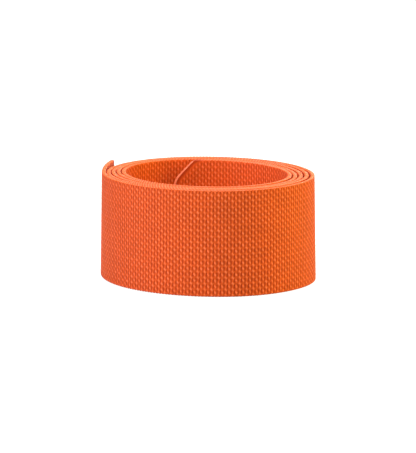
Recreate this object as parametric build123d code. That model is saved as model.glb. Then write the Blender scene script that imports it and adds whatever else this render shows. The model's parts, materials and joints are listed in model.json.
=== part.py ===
"""A length of flat woven webbing, wound standing on edge into a loose roll.

Seen from above, the strap runs anticlockwise from its outer free end, at the
back on the left, inwards to its inner free end, at the back of the hollow.
A winding angle says how far round a place on the strap is: it is the direction
of the strap's outward normal, in degrees anticlockwise from +X, and it goes on
past 360 from one turn to the next. The origin is on the floor, at the middle of
the roll's box. Both free ends are chains of short stiff lengths on upright
knuckle hinges at mid-thickness, which is where the woven strap bends.
"""
from build123d import *
import os
from dataclasses import dataclass
from math import cos, radians, sin

# Driving dimensions, mm and degrees
STRAP_WIDTH = 50.0
STRAP_THICKNESS = 2.0
ROLL_LENGTH = 102.4  # outside, along X
TURN_PITCH = 2.575  # mean distance from a turn to the next one in
OVAL_STEP = 10.9  # between the centres of the roll's tight and its flat quarters
DRIFT_X, DRIFT_Y = -0.175, 0.085  # how far each turn's centre lies from the last one's
TAIL_RADIUS, TAIL_LENGTH = 150.0, 32.0  # the outer end, which stands off the roll
TIP_RADIUS, TIP_LENGTH = 30.0, 24.0  # the inner end, which curls off the wall
LEFT, FRONT, TURN, QUARTER = 180, 270, 360, 90  # winding angles
TIP_START = 1875  # where the strap leaves the inner wall
TURNS = 5
WRAP_LINKS, TAIL_LINKS, WALL_LINKS, TIP_LINKS = 7, 3, 2, 2
WALL_LINK_ANGLE = 15.0
HINGE_GAP = 0.05  # round each knuckle
SEAL = 1.0  # length of the melted edge at each end
CORNER_CLIP, CORNER_ROUND = 10.0, 9.0  # the inner end's trimmed corners
HALF = STRAP_THICKNESS / 2


@dataclass
class Arc:
    """A stretch of the strap's centreline with one radius."""

    start: float
    stop: float
    centre: Vector
    radius: float

    def point(self, angle, offset=0.0):
        """A point on the strap, offset outwards from its mid-thickness."""
        return self.centre + outwards(angle) * (self.radius + offset)

    def then(self, stop, radius):
        """The arc that carries on from this one's stop along the same tangent."""
        centre = self.centre + outwards(self.stop) * (self.radius - radius)
        return Arc(self.stop, stop, centre, radius)


def outwards(angle):
    return Vector(cos(radians(angle)), sin(radians(angle)))


def onwards(angle):
    return Vector(-sin(radians(angle)), cos(radians(angle)))


def shrink(angle):
    """How much the radius drops where one quarter ends and the next begins."""
    even = TURN_PITCH / 4
    return {
        0: even - OVAL_STEP + DRIFT_X / 2,
        90: even + OVAL_STEP + DRIFT_Y / 2,
        180: even - OVAL_STEP - DRIFT_X / 2,
        270: even + OVAL_STEP - DRIFT_Y / 2,
    }[angle % TURN]


def degrees_along(length, radius):
    """The angle that a length of strap turns through on a radius."""
    return length / radius / radians(1)


def wind():
    """The centreline from the outer tip to the inner one, as tangent arcs."""
    radius = (ROLL_LENGTH - STRAP_THICKNESS + shrink(FRONT)) / 2
    centre = Vector(radius + HALF - ROLL_LENGTH / 2, shrink(FRONT) + shrink(0) / 2)
    quarter = Arc(LEFT, FRONT, centre, radius)
    tail_centre = centre - outwards(LEFT) * (TAIL_RADIUS - radius)
    tail_turn = degrees_along(TAIL_LENGTH, TAIL_RADIUS)
    arcs = [Arc(LEFT - tail_turn, LEFT, tail_centre, TAIL_RADIUS), quarter]
    while quarter.stop < TIP_START:
        stop = min(quarter.stop + QUARTER, TIP_START)
        quarter = quarter.then(stop, quarter.radius - shrink(quarter.stop))
        arcs.append(quarter)
    tip_turn = degrees_along(TIP_LENGTH, TIP_RADIUS)
    return arcs + [quarter.then(TIP_START + tip_turn, TIP_RADIUS)]


PATH = wind()
OUTER_TIP, INNER_TIP = PATH[0].start, PATH[-1].stop


def place(angle, offset=0.0):
    """The plan point at a winding angle, offset outwards from mid-thickness."""
    arc = next(a for a in PATH if angle <= a.stop)
    return arc.point(angle, offset)


def face_edges(start, stop, offset):
    """One face of the strap between two winding angles, as arcs in plan."""
    edges = []
    for arc in PATH:
        low, high = max(start, arc.start), min(stop, arc.stop)
        if low < high:
            ends = (low, (low + high) / 2, high)
            points = [arc.point(angle, offset) for angle in ends]
            edges.append(Edge.make_three_point_arc(*points))
    return edges


def end_edge(angle, bulge):
    """The strap's end in plan: square, or rounded by a bulge along the strap."""
    ends = place(angle, HALF), place(angle, -HALF)
    if not bulge:
        return Edge.make_line(*ends)
    crown = place(angle) + onwards(angle) * bulge
    return Edge.make_three_point_arc(ends[0], crown, ends[1])


def stand(outline):
    """A solid of the strap's width that stands on a closed plan outline."""
    return extrude(Face(Wire.combine(outline)[0]), amount=STRAP_WIDTH, dir=(0, 0, 1))


def strap(start, stop, start_bulge=0.0, stop_bulge=0.0, sockets=()):
    """A standing length of strap, with a socket at each hinge it holds."""
    outline = face_edges(start, stop, HALF) + face_edges(start, stop, -HALF)
    outline += [end_edge(start, start_bulge), end_edge(stop, stop_bulge)]
    solid = stand(outline)
    for angle in sockets:
        on_floor = (Align.CENTER, Align.CENTER, Align.MIN)
        solid -= Pos(place(angle)) * Cylinder(HALF + HINGE_GAP, STRAP_WIDTH, align=on_floor)
    return solid


def inner_end_outline(trim):
    """A block that covers the inner end, with its two corners clipped and rounded."""
    blank = Pos(-trim - TIP_LENGTH / 2, STRAP_WIDTH / 2) * Rectangle(TIP_LENGTH, STRAP_WIDTH)
    clipped = chamfer(blank.vertices().group_by(Axis.X)[-1], CORNER_CLIP)
    rounded = fillet(clipped.vertices().group_by(Axis.X)[-1], CORNER_ROUND)
    frame = Plane(place(INNER_TIP), onwards(INNER_TIP), outwards(INNER_TIP))
    return extrude(frame * rounded, amount=TIP_LENGTH, both=True)


def wrap_angles():
    """Hinges round the outermost quarter turn, from the roll outwards."""
    step = (FRONT - LEFT) / WRAP_LINKS
    return [FRONT - i * step for i in range(WRAP_LINKS + 1)]


def tail_angles():
    """Hinges along the outer end that stands off the roll, and its tip."""
    step = (LEFT - OUTER_TIP) / TAIL_LINKS
    return [LEFT - i * step for i in range(TAIL_LINKS + 1)]


def inner_angles():
    """Hinges from the inner wall to the inner tip."""
    wall = [TIP_START - WALL_LINK_ANGLE * i for i in range(WALL_LINKS, 0, -1)]
    step = (INNER_TIP - TIP_START) / TIP_LINKS
    return wall + [TIP_START + i * step for i in range(TIP_LINKS + 1)]


def outer_chain(name, angles):
    """Short lengths of the outer end, each with its knuckle in the one before it."""
    made = {}
    for i, (near, far) in enumerate(zip(angles, angles[1:]), start=1):
        sockets = [far] if far > OUTER_TIP else []
        made[f"{name}_{i}"] = strap(far, near, stop_bulge=HALF, sockets=sockets)
    return made


def inner_chain(angles):
    """Short lengths of the inner end, the last with trimmed corners and a melted edge."""
    made = {}
    for i, (near, far) in enumerate(zip(angles, angles[1:]), start=1):
        sockets = [far] if far < INNER_TIP else []
        made[f"inner_end_{i}"] = strap(near, far, start_bulge=-HALF, sockets=sockets)
    last = f"inner_end_{len(made)}"
    trimmed = made[last] & inner_end_outline(trim=0)
    made[last] = trimmed & inner_end_outline(trim=SEAL)
    made["inner_sealed_end"] = trimmed - inner_end_outline(trim=SEAL)
    return made


def turns():
    """The wound turns that stay put, numbered from the hollow outwards."""
    cuts = [FRONT] + [LEFT + i * TURN for i in range(1, TURNS)] + [inner_angles()[0]]
    made = {}
    for i, (start, stop) in enumerate(zip(cuts, cuts[1:])):
        sockets = [angle for angle in (start, stop) if angle in (cuts[0], cuts[-1])]
        made[f"turn_{TURNS - i}"] = strap(start, stop, sockets=sockets)
    return made


def outer_sealed_end():
    """The melted edge of the outer end, on the last length's square end."""
    tail = PATH[0]
    melted = Arc(tail.start - degrees_along(SEAL, TAIL_RADIUS), tail.start, tail.centre, TAIL_RADIUS)
    middle = (melted.start + melted.stop) / 2
    near = [melted.point(melted.stop, side) for side in (HALF, -HALF)]
    far = [melted.point(middle, side) for side in (HALF, -HALF)]
    outline = [
        Edge.make_line(*near),
        Edge.make_line(near[0], far[0]),
        Edge.make_line(near[1], far[1]),
        Edge.make_three_point_arc(far[0], melted.point(melted.start), far[1]),
    ]
    return stand(outline)


NODES = {
    **turns(),
    **outer_chain("outer_wrap", wrap_angles()),
    **outer_chain("outer_tail", tail_angles()),
    "outer_sealed_end": outer_sealed_end(),
    **inner_chain(inner_angles()),
}

os.makedirs("parts", exist_ok=True)
for node, solid in NODES.items():
    export_step(solid, f"parts/{node}.step")
strap_length = sum(radians(arc.stop - arc.start) * arc.radius for arc in PATH) + SEAL
print(f"{len(NODES)} nodes, strap {strap_length:.0f} mm long")
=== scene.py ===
import json
from math import cos, pi, radians, sin, sqrt, tan

import bmesh
import bpy
import numpy as np
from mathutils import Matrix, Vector


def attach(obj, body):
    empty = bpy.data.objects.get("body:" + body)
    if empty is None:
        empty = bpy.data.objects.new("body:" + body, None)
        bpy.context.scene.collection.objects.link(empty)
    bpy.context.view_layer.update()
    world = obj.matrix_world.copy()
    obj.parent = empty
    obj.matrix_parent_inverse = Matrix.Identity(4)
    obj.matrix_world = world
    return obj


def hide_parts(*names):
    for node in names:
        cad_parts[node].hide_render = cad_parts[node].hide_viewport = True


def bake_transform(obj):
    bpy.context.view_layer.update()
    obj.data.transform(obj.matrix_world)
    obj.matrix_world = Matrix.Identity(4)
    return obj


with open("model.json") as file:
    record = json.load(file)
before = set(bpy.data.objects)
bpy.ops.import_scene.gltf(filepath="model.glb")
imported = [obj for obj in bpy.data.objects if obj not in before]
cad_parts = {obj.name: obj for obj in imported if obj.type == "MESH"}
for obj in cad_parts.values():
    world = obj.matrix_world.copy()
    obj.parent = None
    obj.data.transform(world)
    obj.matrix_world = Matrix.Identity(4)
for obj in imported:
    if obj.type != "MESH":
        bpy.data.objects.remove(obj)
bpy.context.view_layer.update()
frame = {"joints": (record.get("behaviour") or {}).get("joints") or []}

# ---------------------------------------------------------------- Outer free end
# The first quarter turn of a strap of heavy plain-weave webbing, and the 32 mm beyond it.
# It is woven from orange polypropylene or polyester yarn, cut with a hot knife, and held
# only by its own set, so it springs off the roll.
# Its line in plan is a chain of tangent arcs, tight and flat quarters in turn, because a
# loose roll settles slightly oval.
MM = 0.001
scene = bpy.context.scene
WIDTH, THICKNESS = 50.0 * MM, 2.0 * MM
ROLL_LENGTH = 102.4 * MM
TURN_PITCH = 2.575 * MM
OVAL_STEP = 10.9 * MM
DRIFT_X, DRIFT_Y = -0.175 * MM, 0.085 * MM
TAIL_RADIUS, TAIL_LENGTH = 150.0 * MM, 32.0 * MM
TIP_RADIUS, TIP_LENGTH = 30.0 * MM, 24.0 * MM
LEFT, FRONT, TURN, QUARTER, TIP_START = 180, 270, 360, 90, 1875
FOOT_SPREAD = 0.015  # the roll is a little looser at its foot than at its top
WANDER_NEAR, WANDER_FAR = 0.07 * MM, 0.05 * MM  # how far a turn lies in or out, in two waves
WANDER_NEAR_RUN, WANDER_FAR_RUN, WANDER_START = 9 * MM, 23 * MM, 1.3
LIFT = 0.12 * MM  # how far a turn rides up or down, in two waves
LIFT_NEAR_RUN, LIFT_FAR_RUN, LIFT_START = 37 * MM, 61 * MM, 2.0


def outwards(angle):
    return np.array((cos(radians(angle)), sin(radians(angle))))


def shrink(angle):
    """How much the radius drops where one quarter ends and the next begins."""
    even = TURN_PITCH / 4
    return {
        0: even - OVAL_STEP + DRIFT_X / 2,
        90: even + OVAL_STEP + DRIFT_Y / 2,
        180: even - OVAL_STEP - DRIFT_X / 2,
        270: even + OVAL_STEP - DRIFT_Y / 2,
    }[angle % TURN]


def wind():
    """(first angle, last angle, centre, radius) of each arc, from the outer end inwards."""
    radius = (ROLL_LENGTH - THICKNESS + shrink(FRONT)) / 2
    centre = np.array((radius + THICKNESS / 2 - ROLL_LENGTH / 2, shrink(FRONT) + shrink(0) / 2))
    tail_turn = TAIL_LENGTH / TAIL_RADIUS / radians(1)
    tail_centre = centre - outwards(LEFT) * (TAIL_RADIUS - radius)
    arcs = [(LEFT - tail_turn, LEFT, tail_centre, TAIL_RADIUS), (LEFT, FRONT, centre, radius)]
    start = FRONT
    while start < TIP_START:
        centre = centre + outwards(start) * shrink(start)
        radius -= shrink(start)
        stop = min(start + QUARTER, TIP_START)
        arcs.append((start, stop, centre, radius))
        start = stop
    centre = centre + outwards(start) * (radius - TIP_RADIUS)
    tip_turn = TIP_LENGTH / TIP_RADIUS / radians(1)
    return arcs + [(start, start + tip_turn, centre, TIP_RADIUS)]


ARCS = wind()
FIRST_ANGLE = np.radians([arc[0] for arc in ARCS])
CENTRE = np.array([arc[2] for arc in ARCS])
RADIUS = np.array([arc[3] for arc in ARCS])
ARC_LENGTH = np.array([radians(arc[1] - arc[0]) * arc[3] for arc in ARCS])
ARC_START = np.concatenate(([0.0], np.cumsum(ARC_LENGTH)[:-1]))
STRAP_LENGTH = float(ARC_LENGTH.sum())


def roll_up(flat):
    """Winds flat points (along the strap, out of its face, up) onto the roll's line.
    Hand winding leaves each turn a hair in or out, and a hair up or down."""
    along, out, up = flat.T
    wander = WANDER_NEAR * np.sin(along / WANDER_NEAR_RUN)
    wander = wander + WANDER_FAR * np.sin(along / WANDER_FAR_RUN + WANDER_START)
    lift = LIFT * (2 + np.sin(along / LIFT_FAR_RUN) + np.sin(along / LIFT_NEAR_RUN + LIFT_START))
    arc = np.clip(np.searchsorted(ARC_START, along, side="right") - 1, 0, len(ARCS) - 1)
    angle = FIRST_ANGLE[arc] + (along - ARC_START[arc]) / RADIUS[arc]
    reach = RADIUS[arc] + out + wander
    plan = CENTRE[arc] + reach[:, None] * np.stack((np.cos(angle), np.sin(angle)), axis=1)
    plan *= (1 + FOOT_SPREAD * (0.5 - up / WIDTH))[:, None]
    return np.column_stack((plan, up + lift))


def length_to(angle):
    """How far along the strap, from its outer end, a winding angle is."""
    arc = next(i for i, a in enumerate(ARCS) if angle <= a[1])
    return ARC_START[arc] + radians(angle - ARCS[arc][0]) * ARCS[arc][3]


# Heavy plain-weave webbing: 36 thick warp yarns run along it, each going over and under
# the weft picks, and each pick turns back round the edge yarn in a slanted loop.
ROWS = 36
PICKS = round(STRAP_LENGTH / (1.6 * MM))
PICK, ROW = STRAP_LENGTH / PICKS, WIDTH / ROWS
WEFT_RISE, WEFT_ROUND = 0.05 * MM, 0.42 * MM
WARP_RISE, WARP_ROUND, WARP_SINK = 0.10 * MM, 0.16 * MM, 0.22 * MM
INSIDE_RELIEF = 0.7  # picks crowd together on the inside of the bend, and close their grooves
SWAY = 0.17  # of a pick, how far each weft bends aside between the warp yarns
EDGE_REACH = 0.7 * MM  # how far the rounded edge comes in over the faces
LOOP_ROUND = 0.52 * MM
EDGE_SLANT = 1.1  # of a pick, from one face to the other
STEPS = 4  # mesh steps to a pick and to a row
SEAL = 1.0 * MM
MELTED_REACH = 4.0 * MM  # how far the hot knife flattened the weave
MELTED_SINK = 0.03 * MM  # how far below the woven face the melted part lies
CROSSING = 0.02 * MM  # how sharply a warp yarn meets a weft pick
UNEVEN = 0.4  # of the weft's rise, from one crown to the next

rng = np.random.default_rng(7)
crown_wobble = rng.uniform(-1, 1, (PICKS + 2, ROWS + 2))


def yarn(x):
    """The rounded top of a yarn, 0 at its middle and falling to each side, at x from -1 to 1."""
    return np.sqrt(1 - 0.9 * np.minimum(x * x, 1)) - 1


def weave_height(along, up, side):
    """The height of one face of the cloth; side is 1 on the outer face and -1 on the inner."""
    v = up / ROW - 0.5
    u = along / PICK - 0.5
    turn_about = np.where((np.round(u) % 2) == 0, 1.0, -1.0)
    u = u + SWAY * np.sin(pi * v) * turn_about * np.cos(pi * (u - np.round(u)))
    column, row = np.round(u), np.clip(np.round(v), 0, ROWS - 1)
    odd = side * np.where((column % 2) == 0, 1.0, -1.0)
    wobble = crown_wobble[column.astype(int) % PICKS, row.astype(int)]
    rise = np.cos(pi * v) * odd
    weft = WEFT_RISE * rise * (1 + UNEVEN * wobble) + WEFT_ROUND * yarn(2 * (u - column))
    warp = -WARP_RISE * rise * np.cos(2 * pi * (u - column)) + WARP_ROUND * yarn(2 * (v - row)) - WARP_SINK
    open_up = np.where(side > 0, 1.0, INSIDE_RELIEF)
    return open_up * CROSSING * np.logaddexp(warp / CROSSING, weft / CROSSING)


def edge_height(along, lean):
    """The slanted loops of the weft round an edge yarn; lean is 1 at the outer face, -1 at the inner."""
    u = along / PICK - 0.5 - EDGE_SLANT * lean / 2
    return LOOP_ROUND * yarn(2 * (u - np.round(u))) + 0.05 * MM


def cross_section(outer_fine, inner_fine):
    """Columns (up, out, normal up, normal out, edge share, side) once round the strap."""
    fine = np.arange(3, ROWS * STEPS - 2) * ROW / STEPS
    coarse = np.concatenate((fine[:8:2], [WIDTH * 0.25, WIDTH * 0.5, WIDTH * 0.75], fine[-8::2]))
    outer, inner = (fine if keep else coarse for keep in (outer_fine, inner_fine))
    half = THICKNESS / 2 - WEFT_RISE * 1.3
    faces = [[(z, side * half, 0, side, 0, side) for z in zs] for zs, side in ((outer, 1), (inner[::-1], -1))]
    edges = []
    for base, way in ((WIDTH - EDGE_REACH, 1), (EDGE_REACH, -1)):
        edges.append([])
        for t in np.linspace(0, pi, 9)[1:-1]:
            square = (cos(t) ** 4 + sin(t) ** 4) ** 0.25
            rise, lean = sin(t) / square, cos(t) / square
            share = min(1.0, max(0.0, (rise - 0.4) / 0.4))
            side = way * (1 if lean > 0 else -1)
            edges[-1].append((base + way * EDGE_REACH * rise, way * half * lean * (1 + 0.15 * share),
                              way * sin(t), way * cos(t), share, side))
    return np.array(faces[0] + edges[0] + faces[1] + edges[1])


def flat_weave(first, last, outer_fine, inner_fine, flattened):
    """A closed woven length, still flat, between two picks, and each point's height in the weave."""
    section = cross_section(outer_fine, inner_fine)
    stations = np.arange(first * STEPS, last * STEPS + 1) * PICK / STEPS
    bm = bmesh.new()
    bmesh.ops.create_grid(bm, x_segments=len(stations) - 1, y_segments=len(section), size=1)
    mesh = bpy.data.meshes.new("weave")
    bm.to_mesh(mesh)
    bm.free()
    spot = np.zeros(len(mesh.vertices) * 3)
    mesh.vertices.foreach_get("co", spot)
    spot = (spot.reshape(-1, 3) + 1) / 2
    i = np.rint(spot[:, 0] * (len(stations) - 1)).astype(int)
    j = np.rint(spot[:, 1] * len(section)).astype(int) % len(section)
    along = stations[i]
    up, out, normal_up, normal_out, edge, side = section[j].T
    face = weave_height(along, up, side)
    height = face * (1 - edge) + edge_height(along, out / (THICKNESS / 2)) * edge
    melted = flattened(along, up)
    height = height * (1 - melted) - MELTED_SINK * melted
    flat = np.column_stack((along, out + height * normal_out, up + height * normal_up))
    mesh.vertices.foreach_set("co", flat.ravel())
    # How high each point sits, 0 deep in the weave and 1 on a crown, with the edge loops' grooves counted
    # deeper; the webbing paints shade into the grooves and a highlight on the crowns from this
    crown = np.clip((height / MM + 0.26 - 0.06 * edge) / (0.38 - 0.1 * edge), 0, 1)
    for label, values in (("crown", crown), ("melted", melted)):
        mesh.attributes.new(label, "FLOAT", "POINT").data.foreach_set("value", values)
    lay = np.column_stack((along, up, side * 0.01))
    mesh.attributes.new("lay", "FLOAT_VECTOR", "POINT").data.foreach_set("vector", lay.ravel())
    return mesh


def finish_weave(mesh, name, cuts=()):
    """Welds the section's start to its end, closes both ends, trims them, and rolls the strap up."""
    bm = bmesh.new()
    bm.from_mesh(mesh)
    bmesh.ops.remove_doubles(bm, verts=bm.verts, dist=1e-6)
    rims = [e for e in bm.edges if e.is_boundary]
    bmesh.ops.holes_fill(bm, edges=rims, sides=0)
    for edge in rims:
        edge.smooth = False
    for point, away in cuts:
        everything = bm.verts[:] + bm.edges[:] + bm.faces[:]
        cut = bmesh.ops.bisect_plane(bm, geom=everything, plane_co=point, plane_no=away, clear_outer=True)
        rim = [e for e in cut["geom_cut"] if isinstance(e, bmesh.types.BMEdge)]
        bmesh.ops.edgeloop_fill(bm, edges=rim)
        for edge in rim:
            edge.smooth = False
    bmesh.ops.recalc_face_normals(bm, faces=bm.faces)
    for face in bm.faces:
        face.smooth = True
    bm.to_mesh(mesh)
    bm.free()
    flat = np.zeros(len(mesh.vertices) * 3)
    mesh.vertices.foreach_get("co", flat)
    mesh.vertices.foreach_set("co", roll_up(flat.reshape(-1, 3)).ravel())
    mesh.update()
    piece = bpy.data.objects.new(name, mesh)
    scene.collection.objects.link(piece)
    return piece


# Dope-dyed polypropylene or polyester multifilament is orange right through. It reads matt,
# with a faint real sheen; its colour is painted darker and redder between the yarns as shade, and paler on
# the crowns as a highlight.
FILAMENTS_ACROSS, FILAMENTS_ALONG = 4.2 / MM, 0.9 / MM  # noise cells to a millimetre
PATCHES = 0.16 / MM  # slow unevenness of the dye, about 6 mm across
FILAMENT_RELIEF = 0.06 * MM


def linear(hex_colour):
    """An sRGB hex colour as the linear RGBA that a shader takes."""
    parts = [int(hex_colour[i : i + 2], 16) / 255 for i in (1, 3, 5)]
    return [p / 12.92 if p <= 0.04045 else ((p + 0.055) / 1.055) ** 2.4 for p in parts] + [1.0]


def node(tree, kind, settings=(), **inputs):
    """Adds a node with its settings, and gives each named input a value or a link."""
    made = tree.nodes.new(kind)
    for key, value in dict(settings).items():
        setattr(made, key, value)
    for key, value in inputs.items():
        numbered = key[0] == "i" and key[1:].isdigit()
        socket = made.inputs[int(key[1:]) if numbered else key.replace("_", " ")]
        if isinstance(value, bpy.types.NodeSocket):
            tree.links.new(value, socket)
        else:
            socket.default_value = value
    return made


def woven_polypropylene():
    material = bpy.data.materials.new("dope_dyed_woven_polypropylene")
    material.use_nodes = True
    tree = material.node_tree
    shader = tree.nodes["Principled BSDF"]
    crown = node(tree, "ShaderNodeAttribute", {"attribute_name": "crown"}).outputs["Fac"]
    melted = node(tree, "ShaderNodeAttribute", {"attribute_name": "melted"}).outputs["Fac"]
    lay = node(tree, "ShaderNodeAttribute", {"attribute_name": "lay"}).outputs["Vector"]
    # filaments about 0.25 mm apart, coarser than the real ones so that they show
    spread = (FILAMENTS_ALONG, FILAMENTS_ACROSS, FILAMENTS_ALONG)
    stretched = node(tree, "ShaderNodeMapping", i0=lay, Scale=spread).outputs[0]
    filaments = node(tree, "ShaderNodeTexNoise", Vector=stretched, Scale=1.0, Detail=3.0).outputs["Fac"]
    patches = node(tree, "ShaderNodeTexNoise", Vector=lay, Scale=PATCHES, Detail=2.0).outputs["Fac"]
    mixed = {"data_type": "RGBA"}
    # Painted shade and highlight: below 0.7 of crown height the colour darkens to deep red as painted shade
    # in the grooves, and above 0.6 it turns pale as a painted highlight on the crowns
    body = node(tree, "ShaderNodeMapRange", i0=crown, i1=0.0, i2=0.7).outputs[0]
    tip = node(tree, "ShaderNodeMapRange", i0=crown, i1=0.6, i2=1.0).outputs[0]
    painted_groove_shade = node(tree, "ShaderNodeMix", mixed, i0=body, i6=linear("#9C2E00"), i7=linear("#EC6420")).outputs[2]
    dye_with_painted_light = node(tree, "ShaderNodeMix", mixed, i0=tip, i6=painted_groove_shade, i7=linear("#FF9C6C"))
    shade = node(tree, "ShaderNodeMapRange", i0=filaments, i1=0.3, i2=0.7, i3=0.86, i4=1.1).outputs[0]
    tone = node(tree, "ShaderNodeMapRange", i0=patches, i1=0.3, i2=0.7, i3=0.95, i4=1.05).outputs[0]
    both = node(tree, "ShaderNodeMath", {"operation": "MULTIPLY"}, i0=shade, i1=tone).outputs[0]
    toned = node(tree, "ShaderNodeVectorMath", {"operation": "SCALE"}, i0=dye_with_painted_light.outputs[2], Scale=both)
    smooth = node(tree, "ShaderNodeMix", mixed, i0=melted, i6=toned.outputs[0], i7=linear("#E8622A"))
    # The colour goes darker in a band close to the cut, where the melted share is over 0.3
    darker_near_cut = node(tree, "ShaderNodeMapRange", i0=melted, i1=0.3, i2=0.6).outputs[0]
    colour = node(tree, "ShaderNodeMix", mixed, i0=darker_near_cut, i6=smooth.outputs[2], i7=linear("#B84418"))
    tree.links.new(colour.outputs[2], shader.inputs["Base Color"])
    rough = node(tree, "ShaderNodeMapRange", i0=melted, i3=0.55, i4=0.36).outputs[0]
    tree.links.new(rough, shader.inputs["Roughness"])
    bump = node(tree, "ShaderNodeBump", Height=filaments, Strength=0.5, Distance=FILAMENT_RELIEF)
    tree.links.new(bump.outputs[0], shader.inputs["Normal"])
    shader.inputs["Specular IOR Level"].default_value = 0.22
    shader.inputs["Sheen Weight"].default_value = 0.05
    shader.inputs["Sheen Roughness"].default_value = 0.4
    return material


WEBBING = woven_polypropylene()


def unmelted(along, up):
    return np.zeros_like(along)


def strap_piece(name, first, last, nodes, outer_fine, inner_fine, flattened=unmelted, cuts=()):
    """One woven length of the strap between two picks, standing for its CAD nodes."""
    flat = flat_weave(first, last, outer_fine, inner_fine, flattened)
    piece = finish_weave(flat, name, cuts)
    piece.data.materials.append(WEBBING)
    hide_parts(*nodes)
    return piece


# The strap bends everywhere, so each piece of it spans one hinge of the frame, and pieces
# meet in the groove between two picks, where a join doesn't show.
ALL_STATIONS = np.linspace(0, STRAP_LENGTH, 8 * PICKS)
FIRST_GUESS = np.column_stack((ALL_STATIONS, np.zeros((len(ALL_STATIONS), 2))))
LINE = roll_up(FIRST_GUESS)[:, :2]


def pick_of(joint):
    """How many picks from the outer end a hinge of the frame stands, as a real number."""
    gap = np.linalg.norm(LINE - np.array(joint["pos_m"][:2]), axis=1)
    return ALL_STATIONS[int(gap.argmin())] / PICK


BEND_REACH = 4.5 * MM  # how far each side of a hinge bend() places its two end points
OVERLAP = 4  # picks of a free end's first piece that lie on the still roll


def bend(piece, joint, towards_tip):
    """Works out two points either side of a piece's hinge, and bakes the piece's placement into its mesh."""
    hinge = pick_of(joint) * PICK
    ends = [(hinge + way * towards_tip * BEND_REACH, 0, WIDTH / 2) for way in (-1, 1)]
    start, end = roll_up(np.array(ends))
    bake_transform(piece)


def chain_cuts(joints, towards_tip, tip_pick):
    """The picks where the pieces of a free end meet, from the still roll to the tip."""
    hinges = [pick_of(joint) for joint in joints]
    middles = [(a + b) / 2 for a, b in zip(hinges, hinges[1:])]
    return [round(p) for p in [hinges[0] - towards_tip * OVERLAP, *middles]] + [tip_pick]


# The cut edge was melted, so the last few millimetres of weave are pressed flat.
outer_joints = [j for j in frame["joints"] if j["child"].startswith("outer")]
outer_cuts = chain_cuts(outer_joints, towards_tip=-1, tip_pick=0)


def outer_flattened(along, up):
    return np.clip(1 - along / MELTED_REACH, 0, 1) ** 2


for number, joint in enumerate(outer_joints, start=1):
    high, low = outer_cuts[number - 1 : number + 1]
    piece = strap_piece(f"outer_end_{number}", low, high, [joint["child"]], True, True, outer_flattened)
    bend(piece, joint, towards_tip=-1)

# ---------------------------------------------------------------- Inner free end
# The last 48 mm or so of the same woven strap, inside the hollow. Its corners were clipped
# before the edge was melted, and nothing holds its tip, which curls a little off the wall.
inner_joints = [j for j in frame["joints"] if j["child"].startswith("inner")]
inner_cuts = chain_cuts(inner_joints, towards_tip=1, tip_pick=PICKS)
CORNER_CLIP, CORNER_ROUND = 10.0 * MM, 9.0 * MM
TOP_BACK = 0.25 * MM  # how much the corner above the clip is rubbed off


def end_planes(inset):
    """The planes that trim the inner end: square, clipped at 45 degrees, and between the two."""
    tip = STRAP_LENGTH - inset
    round_corner = CORNER_ROUND * tan(pi / 8)
    planes = [((tip, 0, WIDTH / 2), (1, 0, 0))]
    for way, edge in ((1, WIDTH), (-1, 0)):
        corner = (tip, 0, edge - way * CORNER_CLIP)
        slant = sqrt(0.5)
        planes.append((corner, (slant, 0, way * slant)))
        back = round_corner * tan(pi / 16)
        between = Vector((cos(pi / 8), 0, way * sin(pi / 8)))
        planes.append((Vector(corner) - between * back, between))
        upper = Vector((cos(pi * 3 / 8), 0, way * sin(pi * 3 / 8)))
        planes.append((Vector((tip - CORNER_CLIP, 0, edge)) - upper * TOP_BACK, upper))
    return planes


def inner_flattened(along, up):
    inside = [-(along - p[0]) * n[0] - (up - p[2]) * n[2] for p, n in end_planes(SEAL)]
    return np.clip(1 - np.min(inside, axis=0) / MELTED_REACH, 0, 1) ** 2


for number, joint in enumerate(inner_joints, start=1):
    low, high = inner_cuts[number - 1 : number + 1]
    trims = end_planes(SEAL) if joint is inner_joints[-1] else ()
    name = f"inner_end_{number}_weave"
    piece = strap_piece(name, low, high, [joint["child"]], True, True, inner_flattened, trims)
    bend(piece, joint, towards_tip=1)

# ---------------------------------------------------------------- Melted edges
# Each end was cut with a hot knife, which melts the yarns together into a thin bead of the
# same plastic along the cut. It sets smooth and glossy, and its paler streaks are a painted highlight.
MELT_RUNS = 0.9 / MM  # ripples in the melted plastic and its painted highlight streaks, about 1.1 mm apart
MELT_RELIEF = 0.1 * MM
BEAD_REACH = 0.25 * MM


def melted_plastic():
    material = bpy.data.materials.new("melted_polypropylene_edge")
    material.use_nodes = True
    tree = material.node_tree
    shader = tree.nodes["Principled BSDF"]
    place = node(tree, "ShaderNodeTexCoord").outputs["Object"]
    runs = node(tree, "ShaderNodeTexNoise", Vector=place, Scale=MELT_RUNS, Detail=3.0).outputs["Fac"]
    # Painted highlight: the colour runs from the plastic's own orange to pale streaks along the ripples
    dull, painted_highlight = linear("#D05424"), linear("#FFA078")
    colour = node(tree, "ShaderNodeMix", {"data_type": "RGBA"}, i0=runs, i6=dull, i7=painted_highlight)
    tree.links.new(colour.outputs[2], shader.inputs["Base Color"])
    bump = node(tree, "ShaderNodeBump", Height=runs, Strength=0.6, Distance=MELT_RELIEF)
    tree.links.new(bump.outputs[0], shader.inputs["Normal"])
    shader.inputs["Roughness"].default_value = 0.35
    return material


MELTED = melted_plastic()
BEAD_ROUND = 12
BEAD_STEP = 0.5 * MM


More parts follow.
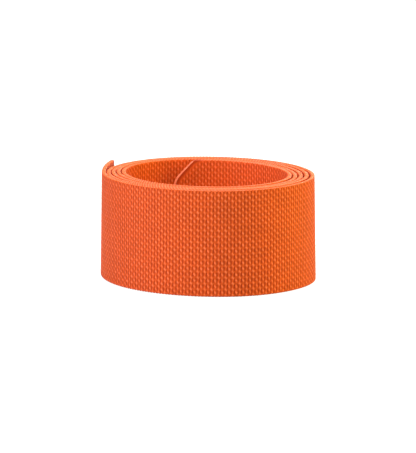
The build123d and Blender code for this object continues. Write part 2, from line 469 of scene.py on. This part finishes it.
def bead(name, route, node_name, body):
    """A bead of melted plastic along a flat route of (along, up) points, rolled up with the strap."""
    route = np.array(route)
    steps = np.concatenate(([0], np.cumsum(np.linalg.norm(np.diff(route, axis=0), axis=1))))
    stations = np.linspace(0, steps[-1], int(steps[-1] / BEAD_STEP))
    middle = np.column_stack([np.interp(stations, steps, route[:, i]) for i in (0, 1)])
    tangent = np.gradient(middle, axis=0)
    tangent /= np.linalg.norm(tangent, axis=1)[:, None]
    beyond = np.column_stack((tangent[:, 1], -tangent[:, 0]))
    bm = bmesh.new()
    bmesh.ops.create_grid(bm, x_segments=len(stations) - 1, y_segments=BEAD_ROUND, size=1)
    mesh = bpy.data.meshes.new(name)
    bm.to_mesh(mesh)
    bm.free()
    spot = np.zeros(len(mesh.vertices) * 3)
    mesh.vertices.foreach_get("co", spot)
    spot = (spot.reshape(-1, 3) + 1) / 2
    i = np.rint(spot[:, 0] * (len(stations) - 1)).astype(int)
    turn = spot[:, 1] * 2 * pi
    run = stations[i]
    fat = 1 + 0.12 * np.sin(run / (1.7 * MM)) + 0.08 * np.sin(run / (0.9 * MM) + 1)
    taper = np.sqrt(np.clip(np.minimum(run, steps[-1] - run) / (0.8 * MM) + 0.15, 0, 1))
    reach = BEAD_REACH * fat * taper
    proud = (THICKNESS / 2 - 0.08 * MM) * taper * (1 + 0.3 * (fat - 1))
    flat = np.column_stack((
        middle[i, 0] + beyond[i, 0] * reach * np.cos(turn),
        proud * np.sin(turn),
        middle[i, 1] + beyond[i, 1] * reach * np.cos(turn),
    ))
    mesh.vertices.foreach_set("co", flat.ravel())
    piece = finish_weave(mesh, name)
    piece.data.materials.append(MELTED)
    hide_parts(node_name)
    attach(piece, body)
    return piece


bead("outer_melted_edge", [(-BEAD_REACH, 0.5 * MM), (-BEAD_REACH, WIDTH - 0.5 * MM)],
     "outer_sealed_end", outer_joints[-1]["child"])


def inner_end_route():
    """Along the clipped and rounded outline of the inner end, from its top edge to its bottom one."""
    tip = STRAP_LENGTH - SEAL * 0.6
    corner, rounded = CORNER_CLIP, CORNER_ROUND * tan(pi / 8)
    top = [(tip - corner - 0.4 * MM, WIDTH - 0.5 * MM), (tip - corner + 0.6 * MM, WIDTH - 1.0 * MM)]
    centre = (tip - CORNER_ROUND, WIDTH - corner - rounded)
    for step in range(7):
        turn = pi / 4 * (1 - step / 6)
        top.append((centre[0] + CORNER_ROUND * cos(turn), centre[1] + CORNER_ROUND * sin(turn)))
    return top + [(s, WIDTH - z) for s, z in reversed(top)]


bead("inner_melted_edge", inner_end_route(), "inner_sealed_end", inner_joints[-1]["child"])

# ---------------------------------------------------------------- Wound turns
# The rest of the same woven strap, wound on itself by hand and held only by lying on its
# neighbours. Only faces that show, or that show once an end is lifted, have the full
# weave. Between the turns only the edges do.
still_start, still_stop = outer_cuts[0], inner_cuts[0]


def pick_to(angle):
    return round(length_to(angle) / PICK)


turn_cuts = [still_start] + [pick_to(LEFT + i * TURN) for i in range(1, 5)] + [still_stop]
inside_shows = pick_to(LEFT + 4 * TURN - QUARTER)
lengths = [
    ("turn_5_right", turn_cuts[0], pick_to(FRONT + TURN * 3 / 8), ["turn_5"], True, False),
    ("turn_5_back", pick_to(FRONT + TURN * 3 / 8), turn_cuts[1], ["turn_5"], True, False),
    ("turn_4_under_end", turn_cuts[1], pick_to(FRONT + TURN + 10), ["turn_4"], True, False),
    ("turn_4_rest", pick_to(FRONT + TURN + 10), turn_cuts[2], ["turn_4"], False, False),
    ("turn_3_whole", turn_cuts[2], turn_cuts[3], ["turn_3"], False, False),
    ("turn_2_hidden", turn_cuts[3], inside_shows, ["turn_2"], False, False),
    ("turn_2_inside", inside_shows, turn_cuts[4], ["turn_2"], False, True),
    ("turn_1_front", turn_cuts[4], pick_to(FRONT + TURN * 4 + 30), ["turn_1"], False, True),
    ("turn_1_right", pick_to(FRONT + TURN * 4 + 30), turn_cuts[5], ["turn_1"], False, True),
]
for name, low, high, nodes, outer_fine, inner_fine in lengths:
    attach(strap_piece(name, low, high, nodes, outer_fine, inner_fine), "coil")

# ---------------------------------------------------------------- Studio
# A table of matt white paper under five soft boxes: a faintly pink one on the left, a yellow
# one on the right, and near-white ones in front, above and behind. A long lens stands well
# back and a little above the roll, so the rim is a thin oval and the sides stay upright.
scene.view_settings.view_transform = "Standard"
ROLL_MIDDLE = Vector((0.0001, 0.0, 0.0243))
CAMERA_DISTANCE = 1.69
CAMERA_RISE = radians(10.4)
SEEN_WIDTH = 0.1989  # at the roll's middle
SENSOR_WIDTH = 36.0

camera_data = bpy.data.cameras.new("camera")
camera_data.sensor_fit = "HORIZONTAL"
camera_data.sensor_width = SENSOR_WIDTH
camera_data.lens = SENSOR_WIDTH * CAMERA_DISTANCE / SEEN_WIDTH
camera = bpy.data.objects.new("camera", camera_data)
scene.collection.objects.link(camera)
camera.location = ROLL_MIDDLE + CAMERA_DISTANCE * Vector((0, -cos(CAMERA_RISE), sin(CAMERA_RISE)))
camera.rotation_euler = (pi / 2 - CAMERA_RISE, 0, 0)
scene.camera = camera


def soft_box(name, place, size, power, colour):
    """A lamp aimed at the roll, with its place and size in metres and its power in watts."""
    lamp = bpy.data.lights.new(name, "AREA")
    lamp.shape, lamp.size, lamp.size_y = "RECTANGLE", size[0], size[1]
    lamp.energy, lamp.color = power, linear(colour)[:3]
    made = bpy.data.objects.new(name, lamp)
    scene.collection.objects.link(made)
    made.location = place
    made.rotation_euler = (Vector(place) - ROLL_MIDDLE).to_track_quat("Z", "Y").to_euler()


soft_box("left_soft_box", (-0.85, -0.35, 0.30), (0.3, 0.5), 4.5, "#FFD8F6")
soft_box("right_soft_box", (0.75, 0.02, 0.22), (0.2, 0.4), 4.6, "#FFDA28")
soft_box("front_soft_box", (-0.1, -0.60, 0.90), (0.6, 0.6), 9.6, "#FFF4E0")
soft_box("top_soft_box", (-0.05, 0.15, 1.0), (0.5, 0.5), 5.4, "#E8ECFF")
soft_box("rear_soft_box", (0.35, 0.85, 0.55), (0.5, 0.5), 6.5, "#FFF4E4")

world = bpy.data.worlds.new("studio")
world.use_nodes = True
seen = node(world.node_tree, "ShaderNodeLightPath").outputs["Is Camera Ray"]
strength = node(world.node_tree, "ShaderNodeMapRange", i0=seen, i3=0.22, i4=1.2).outputs[0]
world.node_tree.links.new(strength, world.node_tree.nodes["Background"].inputs["Strength"])
world.node_tree.nodes["Background"].inputs["Color"].default_value = (1, 1, 1, 1)
scene.world = world

bm = bmesh.new()
bmesh.ops.create_grid(bm, x_segments=1, y_segments=1, size=6.0)
floor_mesh = bpy.data.meshes.new("floor")
bm.to_mesh(floor_mesh)
bm.free()
floor = bpy.data.objects.new("floor", floor_mesh)
scene.collection.objects.link(floor)
paper = bpy.data.materials.new("matt_white_paper")
paper.use_nodes = True
seen = node(paper.node_tree, "ShaderNodeLightPath").outputs["Is Camera Ray"]
paper.node_tree.links.new(seen, paper.node_tree.nodes["Principled BSDF"].inputs["Emission Strength"])
paper.node_tree.nodes["Principled BSDF"].inputs["Emission Color"].default_value = (0.85, 0.85, 0.85, 1)
paper.node_tree.nodes["Principled BSDF"].inputs["Base Color"].default_value = linear("#A8A8A8")
paper.node_tree.nodes["Principled BSDF"].inputs["Roughness"].default_value = 0.9
floor_mesh.materials.append(paper)
